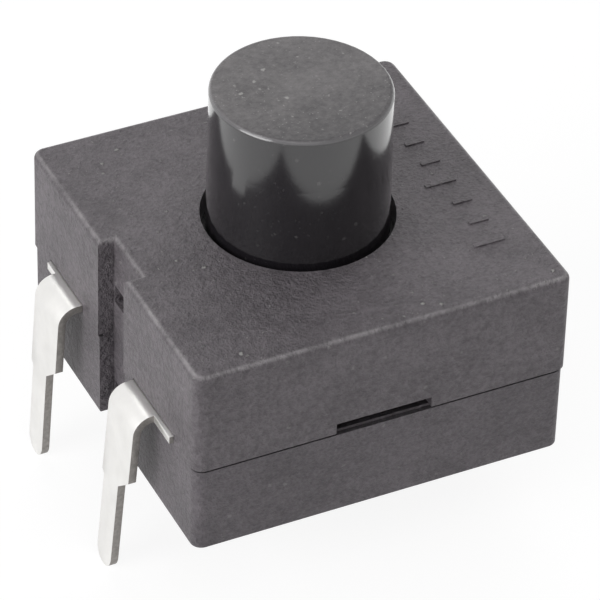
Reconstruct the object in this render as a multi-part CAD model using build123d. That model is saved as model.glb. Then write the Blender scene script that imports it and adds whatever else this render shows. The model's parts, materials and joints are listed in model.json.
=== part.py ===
from build123d import *
import os
from math import cos, radians, sin, tan

# Push button switch with a latching rotor, in millimetres.
# Origin: centre of the underside. +Z is the button's direction, -X is the terminal side.

# ---- housing ----
body_side = 12.0            # cover, measured at the parting line
body_height = 6.37
parting_height = 2.95       # where the cover meets the base
wall_draft = 0.15           # degrees, both mouldings narrow away from the parting line
base_step = 0.045           # the base is this much smaller than the cover, each side
wall = 1.0                  # of the cover
base_wall = 1.1             # of the base, from the cover's outer face
roof = 0.8
floor = 0.8
corner_radius = 0.36
top_edge_radius = 0.22
bottom_edge_radius = 0.05
cavity_corner_radius = 0.6
seam_height = 0.09          # of the fine groove between the two mouldings
seam_depth = 0.15
joint_clearance = 0.05      # between the two mouldings' nested faces

# ---- relief channel down the middle of the terminal side ----
channel_width = 1.86
channel_depth = 0.52
pocket_width = 1.7
pocket_depth = 0.25
cover_pocket_bottom = 4.1
cover_pocket_height = 0.6
base_pocket_bottom = 0.55
base_pocket_height = 0.55

# ---- locating rim and snap latches ----
rim_height = 0.45
rim_thickness = 0.55
rim_corner_radius = 0.3     # inside the rim
rim_root = 0.5              # the rim and the latches start this far below the parting line
latch_width = 2.9
latch_height = 1.6
latch_thickness = 0.55
latch_nose = 0.3
latch_nose_height = 0.5
latch_slot_width = 3.06
latch_slot_height = 0.36

# ---- button ----
button_radius = 2.69
button_straight = 1.8       # the top of the button is a true cylinder for this length
button_flare = 0.04         # the button's foot is this much larger, each side
button_stand_out = 4.45     # above the cover when released
button_wall = 0.84
button_roof = 0.95
button_edge_radius = 0.15
button_travel = 1.2
bore_clearance = 0.17       # button's foot to the cover's hole, each side
flange_radius = 3.3
flange_thickness = 0.7
guide_clearance = 0.1
guide_wall = 0.95
guide_depth = 2.05          # the guide barrel hangs this far below the roof
key_count = 4
key_angle = 45              # first key, from +X
key_width = 1.0
key_reach = 0.5             # past the flange
key_root = 0.3              # inside the flange
stop_clearance = 0.02

# ---- rotor and its drive teeth ----
post_radius = 0.7
post_height = 2.9
post_clearance = 0.06
hub_clearance = 0.08        # hub to the spring around it
hub_height = 0.5
disc_radius = 3.2
disc_thickness = 0.5
tooth_count = 8
tooth_blunt = 0.1           # cut off each tooth's point
tooth_gap = 0.08            # between the two crowns' slopes, along the axis
tooth_back_gap = 1.5        # degrees, between the two crowns' upright faces
tooth_inset = 0.03          # a tooth stands in from its ring's edges
wedge_margin = 0.4          # the slopes' shaping block is this much wider than the ring
peg_radius = 0.25
peg_orbit = 1.45
peg_clearance = 0.01

# ---- contacts ----
star_thickness = 0.15
star_hub_radius = 1.9
star_reach = 3.3
arm_width = 1.1
arm_count = 4
contact_orbit = 2.8
moving_contact_radius = 0.4
moving_contact_height = 0.17
fixed_contact_radius = 0.5
fixed_contact_height = 0.2
rivet_shank_radius = 0.25
rivet_clearance = 0.01
contact_edge_radius = 0.05
contact_gap = 0.03          # moving contact to track, at rest
track_width = 1.1
track_clearance = 0.1       # around the terminals

# ---- terminals ----
strip_thickness = 0.25
strip_end = 4.47            # outer end of each strip in the wall, from the middle
blade_width = 0.97
pad_half_length = 0.65
pad_margin = 0.1            # pad past its contact's head
blade_set_in = 0.02         # blade behind the strip's end
blade_wall_gap = 0.06       # between a strip's drop and the base's inner face
leg_stand_out = 0.75        # wall to the outer face of the leg at the bend
outer_bend_radius = 0.62
inner_bend_radius = 0.36    # of the middle line
leg_tip_depth = 2.95        # below the underside
leg_width = 1.76
shoulder_height = 0.88      # above the underside, where the leg's -Y side starts to narrow
shoulder_drop = 0.56
far_shoulder_height = 0.05  # where the +Y side has narrowed
wall_shoulder = 0.12        # the leg narrows to its slot this far outside the wall
narrow_width = 0.98
narrow_offset = 0.14        # from the leg's +Y side to the narrow part
front_leg_y = -2.53
front_leg_lean = 4.8        # degrees, outwards
rear_leg_y = 3.0
rear_leg_lean = 3.5
strip_slot_clearance = 0.04

# ---- spring ----
wire_radius = 0.14
spring_clearance = 0.29     # spring to the crown around it
spring_turns = 9
spring_end_gap = 0.02

# ---- worked out from the sizes above ----
cover_height = body_height - parting_height
roof_under = body_height - roof
cavity_half = body_side / 2 - wall
base_cavity_half = body_side / 2 - base_wall
outer_half = body_side / 2
foot_radius = button_radius + button_flare
bore_radius = foot_radius + bore_clearance
button_top = body_height + button_stand_out
button_ceiling = button_top - button_roof
flange_top = roof_under - stop_clearance
flange_bottom = flange_top - flange_thickness
key_end = flange_radius + key_reach
guide_inner = flange_radius + guide_clearance
guide_outer = guide_inner + guide_wall
strip_top = parting_height + strip_thickness
blade_top = floor + strip_thickness
track_top = blade_top + fixed_contact_height
star_bottom = track_top + contact_gap + moving_contact_height
star_top = star_bottom + star_thickness
disc_top = star_top + disc_thickness
tooth_angle = 360 / tooth_count
tooth_height = button_travel - tooth_blunt
crown_inner = button_radius - button_wall
crown_outer = button_radius
button_valley = disc_top + button_travel + tooth_gap + button_travel
spring_radius = crown_inner - spring_clearance - wire_radius      # to the middle of the wire
hub_radius = spring_radius - wire_radius - hub_clearance
drop_x = -base_cavity_half + blade_wall_gap + strip_thickness / 2
many = 40.0                 # longer than anything it cuts
over = 1.0                  # a cut runs this far past a face


def slab(x0, x1, y0, y1, z0, z1):
    """A box between two corners."""
    return Pos((x0 + x1) / 2, (y0 + y1) / 2, (z0 + z1) / 2) * Box(x1 - x0, y1 - y0, z1 - z0)


def disc(radius, z0, z1, x=0.0, y=0.0):
    """A round boss or hole, axis along Z."""
    return Pos(x, y, (z0 + z1) / 2) * Cylinder(radius, z1 - z0)


def ring(inner, outer, z0, z1):
    return disc(outer, z0, z1) - disc(inner, z0 - over, z1 + over)


def moulded_block(side, z, height, upwards):
    """A square block with rounded corners that narrows by the draft away from z."""
    plane = Plane(origin=(0, 0, z), z_dir=(0, 0, 1 if upwards else -1))
    return extrude(plane * RectangleRounded(side, side, corner_radius), height, taper=wall_draft)


def latch_slab(side, inner, outer, width, z0, z1):
    """A slab across the middle of the front (side -1) or rear (side 1) wall."""
    low, high = sorted((side * inner, side * outer))
    return slab(-width / 2, width / 2, low, high, z0, z1)


def leg_range(y, side):
    """Where a terminal's strip passes the wall: from the leg's inner edge to the strip's end."""
    inner = y - side * leg_width / 2
    return sorted((inner, side * strip_end))


# ---- mouldings ----
def make_cover():
    cover = moulded_block(body_side, parting_height, cover_height, True)
    cover -= slab(-outer_half - over, -outer_half + channel_depth, -channel_width / 2,
                  channel_width / 2, parting_height - over, body_height + over)
    cover = fillet(cover.faces().sort_by(Axis.Z)[-1].edges(), top_edge_radius)
    cavity = Pos(0, 0, parting_height) * extrude(
        RectangleRounded(2 * cavity_half, 2 * cavity_half, cavity_corner_radius),
        roof_under - parting_height)
    cover -= cavity
    guide = ring(guide_inner, guide_outer, roof_under - guide_depth, roof_under)
    key_slot = slab(0, key_end + guide_clearance, -key_width / 2 - guide_clearance,
                    key_width / 2 + guide_clearance, roof_under - guide_depth - over, roof_under)
    for index in range(key_count):
        guide -= Rot(0, 0, key_angle + index * 360 / key_count) * key_slot
    cover += guide
    cover -= disc(bore_radius, roof_under - over, body_height + over)
    cover -= slab(-outer_half - over, -outer_half + channel_depth + pocket_depth, -pocket_width / 2,
                  pocket_width / 2, cover_pocket_bottom, cover_pocket_bottom + cover_pocket_height)
    latch_back = cavity_half + latch_nose + 2 * joint_clearance
    for side in (-1, 1):
        cover -= latch_slab(side, cavity_half - over, latch_back, latch_width + 4 * joint_clearance,
                            parting_height + latch_height - latch_nose_height - 3 * joint_clearance,
                            parting_height + latch_height + 2 * joint_clearance)
        cover -= latch_slab(side, cavity_half - over, outer_half + over, latch_slot_width,
                            parting_height - over, parting_height + latch_slot_height)
    for y, side in ((front_leg_y, -1), (rear_leg_y, 1)):
        low, high = leg_range(y, side)
        cover -= slab(-outer_half - over, -cavity_half + over, low - strip_slot_clearance,
                      high + strip_slot_clearance, parting_height - over,
                      strip_top + strip_slot_clearance)
    return cover


def make_base():
    side_length = body_side - 2 * base_step
    base = moulded_block(side_length, parting_height, parting_height, False)
    base = fillet(base.faces().sort_by(Axis.Z)[0].edges(), bottom_edge_radius)
    base -= Pos(0, 0, floor) * extrude(
        RectangleRounded(2 * base_cavity_half, 2 * base_cavity_half, cavity_corner_radius),
        parting_height)
    seam_side = side_length - 2 * seam_depth
    seam = extrude(Rectangle(body_side + over, body_side + over), over)
    seam -= extrude(RectangleRounded(seam_side, seam_side, corner_radius), over)
    base -= Pos(0, 0, parting_height - seam_height) * seam
    rim_outer = 2 * (cavity_half - joint_clearance)
    rim_inner = rim_outer - 2 * rim_thickness
    rim = extrude(RectangleRounded(rim_outer, rim_outer, cavity_corner_radius), rim_root + rim_height)
    rim -= extrude(RectangleRounded(rim_inner, rim_inner, rim_corner_radius), rim_root + rim_height)
    rim = Pos(0, 0, parting_height - rim_root) * rim
    rim -= slab(-outer_half, -cavity_half + 2 * rim_thickness, -outer_half, outer_half, 0, body_height)
    base += rim
    latch_face = cavity_half - joint_clearance
    for side in (-1, 1):
        base += latch_slab(side, latch_face - latch_thickness, latch_face, latch_width,
                           parting_height - rim_root, parting_height + latch_height)
        base += latch_slab(side, latch_face - latch_thickness, latch_face + latch_nose, latch_width,
                           parting_height + latch_height - latch_nose_height,
                           parting_height + latch_height)
    base += disc(post_radius, floor / 2, floor + post_height)
    track = ring(contact_orbit - track_width / 2, contact_orbit + track_width / 2, floor / 2, track_top)
    for side in (-1, 1):
        pad_edge = contact_orbit - fixed_contact_radius - pad_margin
        low, high = sorted((side * (pad_edge - track_clearance), side * outer_half))
        track -= slab(-pad_half_length - track_clearance, pad_half_length + track_clearance,
                      low, high, floor, body_height)
    base += track
    base -= slab(-outer_half - over, -outer_half + channel_depth, -channel_width / 2,
                 channel_width / 2, -over, parting_height + over)
    base -= slab(-outer_half - over, -outer_half + channel_depth + pocket_depth, -pocket_width / 2,
                 pocket_width / 2, base_pocket_bottom, base_pocket_bottom + base_pocket_height)
    for y, side in ((front_leg_y, -1), (rear_leg_y, 1)):
        low, high = leg_range(y, side)
        base -= slab(-base_cavity_half - inner_bend_radius, 0, low - strip_slot_clearance,
                     high + strip_slot_clearance, parting_height - inner_bend_radius, body_height)
    return base


# ---- button ----
def sector(inner, outer, start, end):
    """A flat piece of a ring between two angles in degrees."""
    def at(radius, angle):
        return (radius * cos(radians(angle)), radius * sin(radians(angle)))
    middle = (start + end) / 2
    return make_face([
        Line(at(inner, start), at(outer, start)),
        ThreePointArc(at(outer, start), at(outer, middle), at(outer, end)),
        Line(at(outer, end), at(inner, end)),
        ThreePointArc(at(inner, end), at(inner, middle), at(inner, start))])


def ramp_wedge(bottom):
    """A block whose two side faces climb by one tooth's angle over one full travel."""
    face = sector(crown_inner - wedge_margin, crown_outer + wedge_margin, 0, tooth_angle)
    twisted = Solid.extrude_linear_with_rotation(
        face.faces()[0], (0, 0, 0), (0, 0, button_travel), tooth_angle)
    return Pos(0, 0, bottom) * twisted


def upright_wedge(bottom):
    """A block with upright side faces, one tooth's angle apart."""
    face = sector(crown_inner + tooth_inset, crown_outer - tooth_inset, 0, tooth_angle)
    return Pos(0, 0, bottom) * extrude(face, tooth_height)


def rotor_tooth():
    """One tooth of the rotor's crown: a slope that climbs with the angle, then an upright face."""
    return upright_wedge(disc_top) & ramp_wedge(disc_top)


def button_tooth():
    """One tooth of the button's crown, the other half of the same slope, pointing down."""
    upright = upright_wedge(disc_top + tooth_gap + tooth_blunt)
    tooth = upright & (Rot(0, 0, -tooth_angle) * ramp_wedge(disc_top + tooth_gap))
    return Pos(0, 0, button_travel) * Rot(0, 0, tooth_back_gap) * tooth


def make_button():
    valley = button_valley - tooth_blunt / 2
    outline = make_face(Polyline(
        (0, button_top), (button_radius, button_top), (button_radius, button_top - button_straight),
        (foot_radius, flange_top),
        (flange_radius, flange_top), (flange_radius, flange_bottom), (crown_outer, flange_bottom),
        (crown_outer, valley), (crown_inner, valley), (crown_inner, button_ceiling),
        (0, button_ceiling), close=True))
    button = revolve(Plane.XZ * outline, Axis.Z)
    rim_edge = button.edges().filter_by(GeomType.CIRCLE).sort_by(Axis.Z)[-1]
    button = fillet(rim_edge, button_edge_radius)
    key = slab(flange_radius - key_root, key_end, -key_width / 2, key_width / 2,
               flange_bottom, flange_top)
    for index in range(key_count):
        button += Rot(0, 0, key_angle + index * 360 / key_count) * key
    tooth = button_tooth()
    for index in range(tooth_count):
        button += Rot(0, 0, index * tooth_angle) * tooth
    return button


# ---- rotor and the star it carries ----
def make_rotor():
    rotor = disc(disc_radius, star_top, disc_top)
    rotor += disc(hub_radius, star_top, disc_top + hub_height)
    peg_bottom = star_top - star_thickness
    for index in range(arm_count):
        rotor += Rot(0, 0, index * 360 / arm_count) * disc(
            peg_radius, peg_bottom, disc_top - disc_thickness / 2, x=peg_orbit)
    rotor -= disc(post_radius + post_clearance, 0, body_height)
    tooth = rotor_tooth()
    for index in range(tooth_count):
        rotor += Rot(0, 0, index * tooth_angle) * tooth
    return rotor


def make_star():
    star = disc(star_hub_radius, star_bottom, star_top)
    arm = slab(0, star_reach - arm_width / 2, -arm_width / 2, arm_width / 2, star_bottom, star_top)
    arm += disc(arm_width / 2, star_bottom, star_top, x=star_reach - arm_width / 2)
    arm_hole = disc(rivet_shank_radius + rivet_clearance, 0, body_height, x=contact_orbit)
    peg_hole = disc(peg_radius + peg_clearance, 0, body_height, x=peg_orbit)
    for index in range(arm_count):
        turn = index * 360 / arm_count
        star += Rot(0, 0, turn + tooth_angle) * arm
    for index in range(arm_count):
        turn = index * 360 / arm_count
        star -= Rot(0, 0, turn + tooth_angle) * arm_hole
        star -= Rot(0, 0, turn) * peg_hole
    star -= disc(post_radius + 2 * post_clearance, 0, body_height)
    return star


def make_moving_contact(index):
    """A silver rivet in one arm: its head faces down to the track."""
    turn = Rot(0, 0, index * 360 / arm_count + tooth_angle)
    head = disc(moving_contact_radius, star_bottom - moving_contact_height, star_bottom,
                x=contact_orbit)
    head = fillet(head.edges().filter_by(GeomType.CIRCLE).sort_by(Axis.Z)[0], contact_edge_radius)
    return turn * (head + disc(rivet_shank_radius, star_bottom, star_top, x=contact_orbit))


# ---- terminals ----
def leg_outline(y):
    """The leg seen from the terminal side: wide at the bend, slanted shoulders, a round tip."""
    edge = leg_width / 2
    high = edge - narrow_offset
    low = high - narrow_width
    tip = -leg_tip_depth
    round_start = tip + narrow_width / 2
    sides = Polyline(
        (y + high, round_start), (y + high, far_shoulder_height),
        (y + edge, far_shoulder_height + narrow_offset), (y + edge, many),
        (y - edge, many), (y - edge, shoulder_height),
        (y + low, shoulder_height - shoulder_drop), (y + low, round_start))
    round_tip = ThreePointArc(
        (y + low, round_start), (y + (low + high) / 2, tip), (y + high, round_start))
    return extrude(Plane.YZ * make_face([sides, round_tip]), many, both=True)


def make_terminal(y, side, lean):
    middle_z = parting_height + strip_thickness / 2
    bend = outer_bend_radius - strip_thickness / 2
    corner_x = -outer_half - leg_stand_out + strip_thickness / 2
    tip_z = -leg_tip_depth - over
    tip_x = corner_x - (middle_z - tip_z) * tan(radians(lean))
    path = FilletPolyline(
        (tip_x, 0, tip_z), (corner_x, 0, middle_z), (drop_x, 0, middle_z),
        (drop_x, 0, floor + strip_thickness / 2), (pad_half_length, 0, floor + strip_thickness / 2),
        radius=(bend, inner_bend_radius, inner_bend_radius))
    start = Plane(origin=path @ 0, x_dir=(0, 1, 0), z_dir=path % 0)
    ribbon = sweep(start * Rectangle(many / 2, strip_thickness), path=path)
    low, high = leg_range(y, side)
    blade_end = strip_end - blade_set_in
    blade_low, blade_high = sorted((side * (strip_end - blade_width), side * blade_end))
    pad_low, pad_high = sorted((side * (contact_orbit - fixed_contact_radius - pad_margin),
                                side * blade_end))
    shoulder = -outer_half - wall_shoulder
    blade_start = -base_cavity_half - joint_clearance
    outline = leg_outline(y) & slab(-many, shoulder, -many, many, -many, many)
    outline += slab(shoulder, blade_start, low, high, parting_height - over, strip_top + over)
    outline += slab(blade_start, pad_half_length + over, blade_low, blade_high, 0, strip_top + over)
    outline += slab(-pad_half_length, pad_half_length + over, pad_low, pad_high, 0, blade_top + over)
    terminal = ribbon & outline
    terminal -= disc(rivet_shank_radius + rivet_clearance, 0, blade_top + over,
                     y=side * contact_orbit)
    return terminal


def make_fixed_contact(side):
    """A silver rivet in the terminal's pad: its head faces up to the star."""
    head = disc(fixed_contact_radius, blade_top, track_top, y=side * contact_orbit)
    head = fillet(head.edges().filter_by(GeomType.CIRCLE).sort_by(Axis.Z)[-1], contact_edge_radius)
    return head + disc(rivet_shank_radius, floor, blade_top, y=side * contact_orbit)


def make_spring():
    bottom = disc_top + spring_end_gap
    height = button_ceiling - spring_end_gap - bottom - 2 * wire_radius
    coil = Helix(height / spring_turns, height, spring_radius, center=(0, 0, bottom + wire_radius))
    section = Plane(origin=coil @ 0, z_dir=coil % 0) * Circle(wire_radius)
    return sweep(section, path=coil, is_frenet=True)


os.makedirs("parts", exist_ok=True)
pieces = {
    "cover": make_cover(),
    "base": make_base(),
    "push_button": make_button(),
    "rotor": make_rotor(),
    "contact_star": make_star(),
    "return_spring": make_spring(),
    "terminal_front": make_terminal(front_leg_y, -1, front_leg_lean),
    "terminal_rear": make_terminal(rear_leg_y, 1, rear_leg_lean),
    "fixed_contact_front": make_fixed_contact(-1),
    "fixed_contact_rear": make_fixed_contact(1),
}
for index in range(arm_count):
    pieces[f"moving_contact_{index + 1}"] = make_moving_contact(index)
for name, piece in pieces.items():
    export_step(piece, f"parts/{name}.step")
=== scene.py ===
import json
from functools import cached_property
from math import cos, radians, sin

import bmesh
import bpy
from mathutils import Matrix, Vector


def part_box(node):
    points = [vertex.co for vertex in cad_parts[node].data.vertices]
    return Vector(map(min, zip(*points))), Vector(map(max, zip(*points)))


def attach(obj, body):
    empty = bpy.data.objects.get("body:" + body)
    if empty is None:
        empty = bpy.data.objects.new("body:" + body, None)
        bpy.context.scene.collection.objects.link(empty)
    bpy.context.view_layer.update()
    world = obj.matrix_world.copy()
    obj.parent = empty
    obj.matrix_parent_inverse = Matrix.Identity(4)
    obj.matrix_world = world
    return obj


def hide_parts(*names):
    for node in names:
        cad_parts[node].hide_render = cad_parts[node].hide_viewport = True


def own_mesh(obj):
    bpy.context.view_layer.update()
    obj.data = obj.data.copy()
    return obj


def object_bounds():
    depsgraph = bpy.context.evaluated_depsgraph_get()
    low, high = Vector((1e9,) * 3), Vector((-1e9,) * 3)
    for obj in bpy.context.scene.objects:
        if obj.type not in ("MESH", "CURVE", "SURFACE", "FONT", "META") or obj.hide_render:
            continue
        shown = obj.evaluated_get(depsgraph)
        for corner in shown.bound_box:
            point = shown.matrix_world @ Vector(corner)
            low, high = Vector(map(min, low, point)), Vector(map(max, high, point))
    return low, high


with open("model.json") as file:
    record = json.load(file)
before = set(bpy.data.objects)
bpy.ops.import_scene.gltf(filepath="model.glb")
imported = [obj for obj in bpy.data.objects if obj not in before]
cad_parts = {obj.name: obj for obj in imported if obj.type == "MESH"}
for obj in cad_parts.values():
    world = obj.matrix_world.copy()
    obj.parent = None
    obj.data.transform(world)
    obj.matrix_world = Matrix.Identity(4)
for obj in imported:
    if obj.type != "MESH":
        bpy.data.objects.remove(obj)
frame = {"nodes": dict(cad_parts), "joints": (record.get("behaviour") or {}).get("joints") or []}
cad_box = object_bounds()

MM = 0.001
UP = 2
COVER_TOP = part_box("cover")[1][UP]
BUTTON_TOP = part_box("push_button")[1][UP]


# ---------------------------------------------------------------- shader kit

class Sock:
    """One value inside a node tree. Arithmetic on it adds the Math nodes."""

    def __init__(self, kit, out):
        self.kit, self.out = kit, out

    def _math(self, operation, *terms, clamp=False):
        node = self.kit.node("ShaderNodeMath", {"operation": operation, "use_clamp": clamp},
                             dict(enumerate(terms)))
        return Sock(self.kit, node.outputs[0])

    def __add__(self, other):
        return self._math("ADD", self, other)

    def __radd__(self, other):
        return self._math("ADD", other, self)

    def __sub__(self, other):
        return self._math("SUBTRACT", self, other)

    def __rsub__(self, other):
        return self._math("SUBTRACT", other, self)

    def __mul__(self, other):
        return self._math("MULTIPLY", self, other)

    def __rmul__(self, other):
        return self._math("MULTIPLY", other, self)

    def __abs__(self):
        return self._math("ABSOLUTE", self)

    def below(self, other):
        return self._math("LESS_THAN", self, other)

    def high(self, other):
        return self._math("MAXIMUM", self, other)

    def clamp(self):
        return self._math("ADD", self, 0.0, clamp=True)

    def fade(self, start, end):
        """0 at start and 1 at end, smooth between; start may be the larger."""
        node = self.kit.node("ShaderNodeMapRange", {"interpolation_type": "SMOOTHSTEP"},
                             {"Value": self, "From Min": start, "From Max": end})
        return Sock(self.kit, node.outputs["Result"])

    def band(self, start, full, still_full, end):
        """0 at start, 1 from full to still_full, and 0 again at end."""
        return self.fade(start, full) * self.fade(end, still_full)


class Kit:
    """The node tree of a material or of the world, being filled."""

    def __init__(self, owner):
        owner.use_nodes = True
        self.owner = owner
        self.tree = owner.node_tree
        self.tree.nodes.clear()

    def node(self, kind, settings=None, sockets=None):
        """Adds a node: its settings first, then its sockets' values or links."""
        node = self.tree.nodes.new(kind)
        for key, value in (settings or {}).items():
            setattr(node, key, value)
        for key, value in (sockets or {}).items():
            if isinstance(value, Sock):
                self.tree.links.new(value.out, node.inputs[key])
            else:
                node.inputs[key].default_value = value
        return node

    @cached_property
    def place(self):
        """Where a point lies on the piece, in metres."""
        return Sock(self, self.node("ShaderNodeTexCoord").outputs["Object"])

    def apart(self, vector):
        """The X, Y and Z of a vector."""
        parts = self.node("ShaderNodeSeparateXYZ", None, {"Vector": vector})
        return [Sock(self, parts.outputs[axis]) for axis in "XYZ"]

    def facing(self):
        """The surface's own direction, as three values from -1 to 1."""
        return self.apart(Sock(self, self.node("ShaderNodeTexCoord").outputs["Normal"]))

    def stretched(self, scale):
        """The place, scaled along each axis: below 1 draws a pattern out along it."""
        node = self.node("ShaderNodeMapping", None, {"Vector": self.place, "Scale": scale})
        return Sock(self, node.outputs["Vector"])

    def noise(self, size, detail=2.0, rough=0.5, where=None):
        """Soft noise from 0 to 1 whose blobs are about size metres across."""
        node = self.node("ShaderNodeTexNoise", None,
                         {"Vector": where or self.place, "Scale": 1.0 / size,
                          "Detail": detail, "Roughness": rough})
        return Sock(self, node.outputs["Fac"])

    def ragged(self, size, reach):
        """The place, pushed about by up to reach in blobs of a size, so that round things go ragged."""
        blobs = self.node("ShaderNodeTexNoise", None, {"Vector": self.place, "Scale": 1.0 / size})
        moved = self.node("ShaderNodeVectorMath", {"operation": "MULTIPLY_ADD"},
                          {0: Sock(self, blobs.outputs["Color"]), 1: (2 * reach,) * 3, 2: self.place})
        return Sock(self, moved.outputs[0])

    def cells(self, size, where=None):
        """Distance to the nearest scattered point, and a random value for that point."""
        node = self.node("ShaderNodeTexVoronoi", {"feature": "F1"},
                         {"Vector": where or self.place, "Scale": 1.0 / size})
        pick = self.node("ShaderNodeSeparateColor", None, {"Color": Sock(self, node.outputs["Color"])})
        return Sock(self, node.outputs["Distance"]), Sock(self, pick.outputs["Red"])

    def mix(self, amount, first, second):
        """A colour between two, each a tuple or a Sock."""
        pair = [c if isinstance(c, Sock) else (*c, 1.0) for c in (first, second)]
        node = self.node("ShaderNodeMix", {"data_type": "RGBA"},
                         {"Factor": amount, 6: pair[0], 7: pair[1]})
        return Sock(self, node.outputs[2])

    def bump(self, height, distance, strength=1.0):
        """A normal that shows a height from 0 to 1 as relief of a distance in metres."""
        node = self.node("ShaderNodeBump", None,
                         {"Height": height, "Distance": distance, "Strength": strength})
        return Sock(self, node.outputs["Normal"])

    def seen_by(self, *rays):
        """1 for rays of the named kinds and 0 for all others."""
        path = self.node("ShaderNodeLightPath")
        seen = Sock(self, path.outputs[rays[0]])
        for ray in rays[1:]:
            seen = seen.high(Sock(self, path.outputs[ray]))
        return seen

    def finish(self, **sockets):
        """The surface shader, with underscores for the spaces in its sockets' names."""
        named = {key.replace("_", " "): value for key, value in sockets.items()}
        shader = self.node("ShaderNodeBsdfPrincipled", None, named)
        self.node("ShaderNodeOutputMaterial", None, {"Surface": Sock(self, shader.outputs[0])})
        return self.owner


def new_material(name):
    return Kit(bpy.data.materials.new(name))


def spread(middle, *layers):
    """A share from 0 to 1 round a middle, moved by noises that each have a weight."""
    for weight, noise in layers:
        middle = middle + weight * (noise - 0.5)
    return middle.clamp()


# ---------------------------------------------------------------- finishes

DUST = (0.46, 0.45, 0.44)
# Lighter tone for the top fillets: rubbed wear, and partly a painted highlight.
RUBBED_AND_HIGHLIT_EDGE = (0.36, 0.34, 0.35)
# Near-black painted shade for up-facing ledges inside the base, with some grime.
SHADE_AND_GRIME = (0.012, 0.011, 0.012)
BUTTON_SIDE = ((0.009, 0.008, 0.010), (0.018, 0.016, 0.019))
BUTTON_MATT = ((0.050, 0.046, 0.049), (0.165, 0.155, 0.158))
# Painted highlight for the button's rim fillet.
BUTTON_RIM_HIGHLIGHT = (0.20, 0.19, 0.20)
TIN_FACE = ((0.88, 0.87, 0.85), (0.74, 0.73, 0.71))
TIN_CUT = ((0.20, 0.19, 0.18), (0.42, 0.40, 0.38))
ACETAL = ((0.74, 0.72, 0.66), (0.82, 0.80, 0.75))
MATT_DEPTH = 0.07 * MM
MATT_START = 0.005 * MM
# Span along Y over which the button's matt top is painted lighter towards the back: a painted sheen of
# the rear light.
PAINTED_SHEEN_FROM = -2.9 * MM
PAINTED_SHEEN_TO = 0.3 * MM


def specks(kit, spacing, size, share, where=None):
    """Round grains of about size, in cells spacing apart, of which a share hold one."""
    distance, pick = kit.cells(spacing, where)
    grain = distance.fade(size / spacing, 0.5 * size / spacing)
    return grain * pick.below(share)


def dusting(kit):
    """Settled dust: a few ragged flakes, coarse grains, and fine ones in drifts."""
    ragged = kit.ragged(size=0.09 * MM, reach=0.07 * MM)
    flakes = specks(kit, spacing=0.62 * MM, size=0.090 * MM, share=0.40, where=ragged)
    coarse = specks(kit, spacing=0.30 * MM, size=0.052 * MM, share=0.45, where=ragged) * 0.75
    fine = specks(kit, spacing=0.13 * MM, size=0.028 * MM, share=0.50) * 0.6
    drift = kit.noise(2.2 * MM).fade(0.38, 0.62)
    return flakes.high(coarse.high(fine) * (0.35 + 0.65 * drift))


def moulded_plastic(name, colour, lighter, ledges=0.0):
    """Charcoal moulding: spark-eroded grain, dust, rubbed top edges that also carry a painted
    highlight, and painted shade with grime where ledges face up.
    """
    kit = new_material(name)
    nz = kit.facing()[UP]
    cloud = kit.noise(1.6 * MM, detail=3.0)
    grain = kit.noise(0.11 * MM, detail=3.0, rough=0.6)
    mottle = kit.noise(0.26 * MM, detail=4.0, rough=0.7)
    tone = kit.mix(spread(0.5, (2.6, mottle), (1.3, cloud), (1.8, grain)), colour, lighter)
    # Upper fillet band: rubbed wear together with a painted highlight along the top edges.
    rubbed_and_highlit = nz.band(0.40, 0.84, 0.84, 1.0)
    tone = kit.mix(rubbed_and_highlit * (1.5 * cloud + 1.2 * mottle - 0.75).clamp(), tone, RUBBED_AND_HIGHLIT_EDGE)
    # Painted shade: up-facing ledges darkened towards black, with grime.
    tone = kit.mix(ledges * nz.fade(0.5, 0.9), tone, SHADE_AND_GRIME)
    dust = dusting(kit) * (0.30 + (0.70 - ledges) * nz.fade(0.2, 0.9))
    tone = kit.mix(dust * 0.8, tone, DUST)
    height = grain * 0.55 + mottle * 0.75 + dust * 0.5
    rough = 0.36 + 0.22 * mottle + 0.25 * dust - 0.08 * rubbed_and_highlit
    return kit.finish(Base_Color=tone, Roughness=rough, Normal=kit.bump(height, 0.13 * MM),
                      Specular_IOR_Level=0.5)


def button_plastic():
    """Black plastic: polished sides with a painted highlight on the rim, and a matt top with dust on
    it, painted lighter towards the back as a painted sheen.
    """
    kit = new_material("button_black")
    y, z = kit.apart(kit.place)[1:]
    nz = kit.facing()[UP]
    top = z.fade(BUTTON_TOP - MATT_DEPTH, BUTTON_TOP - MATT_START)
    # Band on the rim fillet where a painted highlight goes.
    rim_highlight = nz.band(0.15, 0.5, 0.85, 0.99)
    mottle = kit.noise(0.22 * MM, detail=4.0, rough=0.7)
    grain = kit.noise(0.10 * MM)
    cloud = kit.noise(1.3 * MM)
    dust = dusting(kit)
    # Painted sheen: the matt top goes lighter towards the back.
    painted_sheen = y.fade(PAINTED_SHEEN_FROM, PAINTED_SHEEN_TO)
    matt = kit.mix(spread(0.15 + 0.5 * painted_sheen, (2.2, mottle), (1.2, cloud)), *BUTTON_MATT)
    tone = kit.mix(top, kit.mix(mottle, *BUTTON_SIDE), matt)
    # Painted highlight on the rim.
    tone = kit.mix(rim_highlight * 0.5, tone, BUTTON_RIM_HIGHLIGHT)
    tone = kit.mix(dust * (0.10 + 0.7 * top), tone, DUST)
    height = (grain + mottle) * (0.06 + 0.9 * top) + dust * 0.4 * top
    return kit.finish(Base_Color=tone, Roughness=0.13 + 0.34 * top + 0.05 * mottle,
                      Normal=kit.bump(height, 0.035 * MM, 0.8), Coat_Weight=1.0 - top,
                      Coat_Roughness=0.12)


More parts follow.
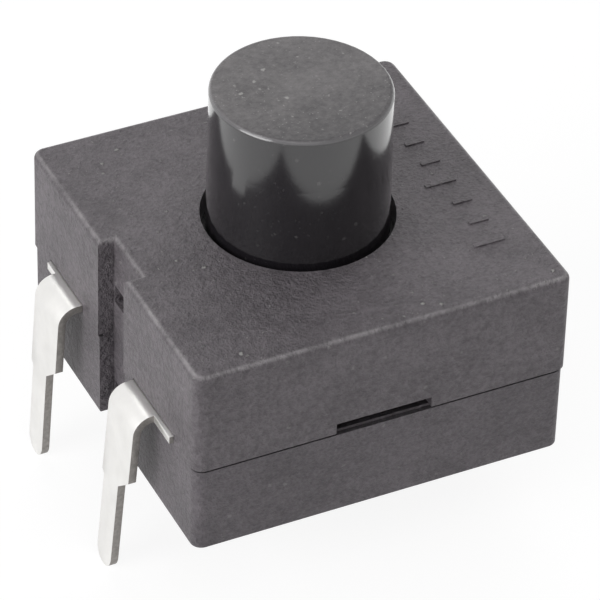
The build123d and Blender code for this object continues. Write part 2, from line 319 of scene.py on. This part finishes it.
def bright_metal(name, colour, darker, rough):
    """A bright metal with a fine tooth and faint stains."""
    kit = new_material(name)
    tooth = kit.noise(0.05 * MM, detail=3.0, rough=0.6)
    stain = kit.noise(0.9 * MM)
    tone = kit.mix((stain * 1.4 - 0.35).clamp(), colour, darker)
    return kit.finish(Base_Color=tone, Metallic=1.0, Roughness=rough + 0.12 * tooth + 0.08 * stain,
                      Normal=kit.bump(tooth, 0.004 * MM, 0.6))


def tin_plate():
    """Bright tin on the strip's faces, duller grey where it was cut from the sheet."""
    kit = new_material("tin_plate")
    ny = kit.facing()[1]
    lines = kit.noise(0.06 * MM, detail=3.0, rough=0.6, where=kit.stretched((1.0, 1.0, 0.12)))
    cloud = kit.noise(0.8 * MM, detail=3.0)
    pits = kit.noise(0.12 * MM)
    cut = abs(ny).fade(0.45, 0.85)
    face = kit.mix((cloud * 1.4 - 0.35).clamp(), *TIN_FACE)
    tone = kit.mix(cut, face, kit.mix(pits, *TIN_CUT))
    height = lines * 0.5 + pits * (0.3 + cut)
    return kit.finish(Base_Color=tone, Metallic=1.0, Roughness=0.30 + 0.12 * lines + 0.25 * cut,
                      Normal=kit.bump(height, 0.008 * MM, 0.7))


def acetal():
    """Off-white moulding with a faint mottle."""
    kit = new_material("rotor_acetal")
    mottle = kit.noise(0.4 * MM)
    return kit.finish(Base_Color=kit.mix(mottle, *ACETAL), Roughness=0.35 + 0.1 * mottle,
                      Normal=kit.bump(kit.noise(0.08 * MM), 0.004 * MM, 0.4))


# ---------------------------------------------------------------- pieces

TERMINAL_EDGE = 0.07 * MM
WELD = 1e-7
FLAT_ANGLE = radians(0.6)
SHARP_ANGLE = radians(40)
SHADED_SHARP = radians(32)
MARK_WIDTH = 0.15 * MM
MARK_HEIGHT = 0.05 * MM


def placed(name, data):
    """An object in the scene that holds a mesh, a light or a camera."""
    made = bpy.data.objects.new(name, data)
    bpy.context.scene.collection.objects.link(made)
    return made


def from_work(name, work):
    """An object with the shape of a bmesh, which is used up."""
    mesh = bpy.data.meshes.new(name)
    work.to_mesh(mesh)
    work.free()
    return placed(name, mesh)


def eased(node, width):
    """A piece that stands for a node: its own shape with every sharp edge broken by a small round."""
    work = bmesh.new()
    work.from_mesh(frame["nodes"][node].data)
    bmesh.ops.remove_doubles(work, verts=work.verts, dist=WELD)
    bmesh.ops.dissolve_limit(work, angle_limit=FLAT_ANGLE, verts=work.verts, edges=work.edges,
                             delimit={"NORMAL"})
    sharp = [edge for edge in work.edges
             if len(edge.link_faces) == 2 and edge.calc_face_angle(0.0) > SHARP_ANGLE]
    bmesh.ops.bevel(work, geom=sharp, offset=width, offset_type="OFFSET", affect="EDGES", segments=3,
                    profile=0.5, material=-1, clamp_overlap=True)
    bmesh.ops.triangulate(work, faces=[face for face in work.faces if len(face.verts) > 4])
    for face in work.faces:
        face.smooth = True
    piece = from_work(node + "_eased", work)
    piece.data.set_sharp_from_angle(angle=SHADED_SHARP)
    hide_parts(node)
    return piece


def shortening_coil(node, joint):
    """A spring that stands for a node: a copy of its shape on the housing, which keeps its length as
    the slide goes in.
    """
    low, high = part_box(node)
    piece = placed(node + "_coil", frame["nodes"][node].data.copy())
    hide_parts(node)
    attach(piece, "housing")
    travel = next(-min(one["range_m"]) for one in frame["joints"] if one["name"] == joint)
    1 - travel / (high[UP] - low[UP])
    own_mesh(piece)
    return piece


def scale_marks(count, spacing, first_y, end_x, long_mark, short_mark):
    """Raised plain marks in a row along the cover's +X edge, every third one long."""
    work = bmesh.new()
    for index in range(count):
        length = long_mark if index % 3 == 0 else short_mark
        middle = (end_x - length / 2, first_y - index * spacing, COVER_TOP)
        made = bmesh.ops.create_cube(work, size=1.0)
        bmesh.ops.scale(work, vec=(length, MARK_WIDTH, 2 * MARK_HEIGHT), verts=made["verts"])
        bmesh.ops.translate(work, vec=middle, verts=made["verts"])
    bmesh.ops.bevel(work, geom=work.edges[:], offset=0.3 * MARK_HEIGHT, offset_type="OFFSET",
                    affect="EDGES", segments=2, profile=0.5, material=-1)
    return from_work("scale_marks", work)


cover_finish = moulded_plastic("cover_charcoal", (0.080, 0.070, 0.078), (0.168, 0.150, 0.164))
finishes = {
    "cover": cover_finish,
    "base": moulded_plastic("base_charcoal", (0.074, 0.065, 0.073), (0.150, 0.133, 0.147), ledges=0.7),
    "push_button": button_plastic(),
    "rotor": acetal(),
    "contact_star": bright_metal("star_brass", (0.80, 0.60, 0.32), (0.66, 0.47, 0.22), 0.28),
    "return_spring": bright_metal("spring_wire", (0.62, 0.61, 0.60), (0.45, 0.44, 0.43), 0.25),
}
tin = tin_plate()
silver = bright_metal("contact_silver", (0.92, 0.91, 0.88), (0.80, 0.78, 0.74), 0.22)
for node, piece in frame["nodes"].items():
    finish = finishes.get(node) or (tin if node.startswith("terminal") else silver)
    piece.data.materials.clear()
    piece.data.materials.append(finish)

for node in ("terminal_front", "terminal_rear"):
    terminal = eased(node, TERMINAL_EDGE)
    terminal.data.materials.append(tin)
    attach(terminal, "housing")

spring = shortening_coil("return_spring", "button_press")

marks = scale_marks(count=7, spacing=1.05 * MM, first_y=2.7 * MM, end_x=4.95 * MM,
                    long_mark=1.0 * MM, short_mark=0.62 * MM)
marks.data.materials.append(cover_finish)
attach(marks, "housing")


# ---------------------------------------------------------------- stage, lights, camera

WHITE = (1, 1, 1, 1)
FLOOR_SHADED = (0.9, 0.9, 0.9)
FLOOR_SEEN = (0.18, 0.18, 0.18)
FLOOR_GLOW = (0.89, 0.89, 0.89)
FLOOR_GAP = 0.02 * MM


def make_floor(z, half):
    """A pale floor that looks white, keeps the object's shadow, and lights nothing by itself."""
    work = bmesh.new()
    bmesh.ops.create_grid(work, x_segments=1, y_segments=1, size=half,
                          matrix=Matrix.Translation((0, 0, z)))
    floor = from_work("floor", work)
    kit = new_material("floor_white")
    seen = kit.seen_by("Is Camera Ray", "Is Glossy Ray", "Is Transmission Ray")
    floor.data.materials.append(kit.finish(
        Base_Color=kit.mix(seen, FLOOR_SHADED, FLOOR_SEEN), Roughness=0.9, Specular_IOR_Level=0.0,
        Emission_Color=kit.mix(seen, (0.0, 0.0, 0.0), FLOOR_GLOW), Emission_Strength=1.0))


def make_world(light, shown):
    """Even light of one strength, seen brighter by the camera and in reflections."""
    world = bpy.data.worlds.new("world")
    bpy.context.scene.world = world
    kit = Kit(world)
    strength = light + (shown - light) * kit.seen_by("Is Camera Ray", "Is Glossy Ray")
    sky = kit.node("ShaderNodeBackground", None, {"Color": WHITE, "Strength": strength})
    kit.node("ShaderNodeOutputWorld", None, {"Surface": Sock(kit, sky.outputs[0])})


def area_light(name, azimuth, elevation, distance, size, power):
    """A soft square light aimed at the object; azimuth 0 is in front, positive to the right."""
    flat = cos(radians(elevation))
    back = Vector((sin(radians(azimuth)) * flat, -cos(radians(azimuth)) * flat,
                   sin(radians(elevation))))
    data = bpy.data.lights.new(name, "AREA")
    data.shape, data.size, data.energy = "SQUARE", size, power
    turn = back.to_track_quat("Z", "Y").to_matrix().to_4x4()
    placed(name, data).matrix_world = Matrix.Translation(back * distance) @ turn


def make_camera(azimuth, elevation, roll, target, distance, lens):
    """A camera that looks at target from a distance, turned in degrees; lengths are in metres."""
    turn = (Matrix.Rotation(radians(azimuth), 4, "Z") @ Matrix.Rotation(radians(90 - elevation), 4, "X")
            @ Matrix.Rotation(radians(roll), 4, "Z"))
    data = bpy.data.cameras.new("camera")
    data.lens, data.sensor_width = lens, 36.0
    data.clip_start, data.clip_end = 0.005, 10.0
    camera = placed("camera", data)
    camera.matrix_world = Matrix.Translation(target) @ turn @ Matrix.Translation((0, 0, distance))
    bpy.context.scene.camera = camera


make_floor(cad_box[0][UP] - FLOOR_GAP, half=2.0)
make_world(light=0.20, shown=1.0)
area_light("side_soft", azimuth=-80, elevation=22, distance=0.30, size=0.20, power=0.54)
area_light("front_high", azimuth=-20, elevation=58, distance=0.30, size=0.16, power=0.12)
area_light("rear_soft", azimuth=150, elevation=48, distance=0.32, size=0.26, power=0.27)
make_camera(azimuth=-26.50, elevation=38.227, roll=1.752,
            target=Vector((0.1147, -0.0799, 3.067)) * MM, distance=135.467 * MM, lens=272.757)
bpy.context.scene.view_settings.view_transform = "Standard"
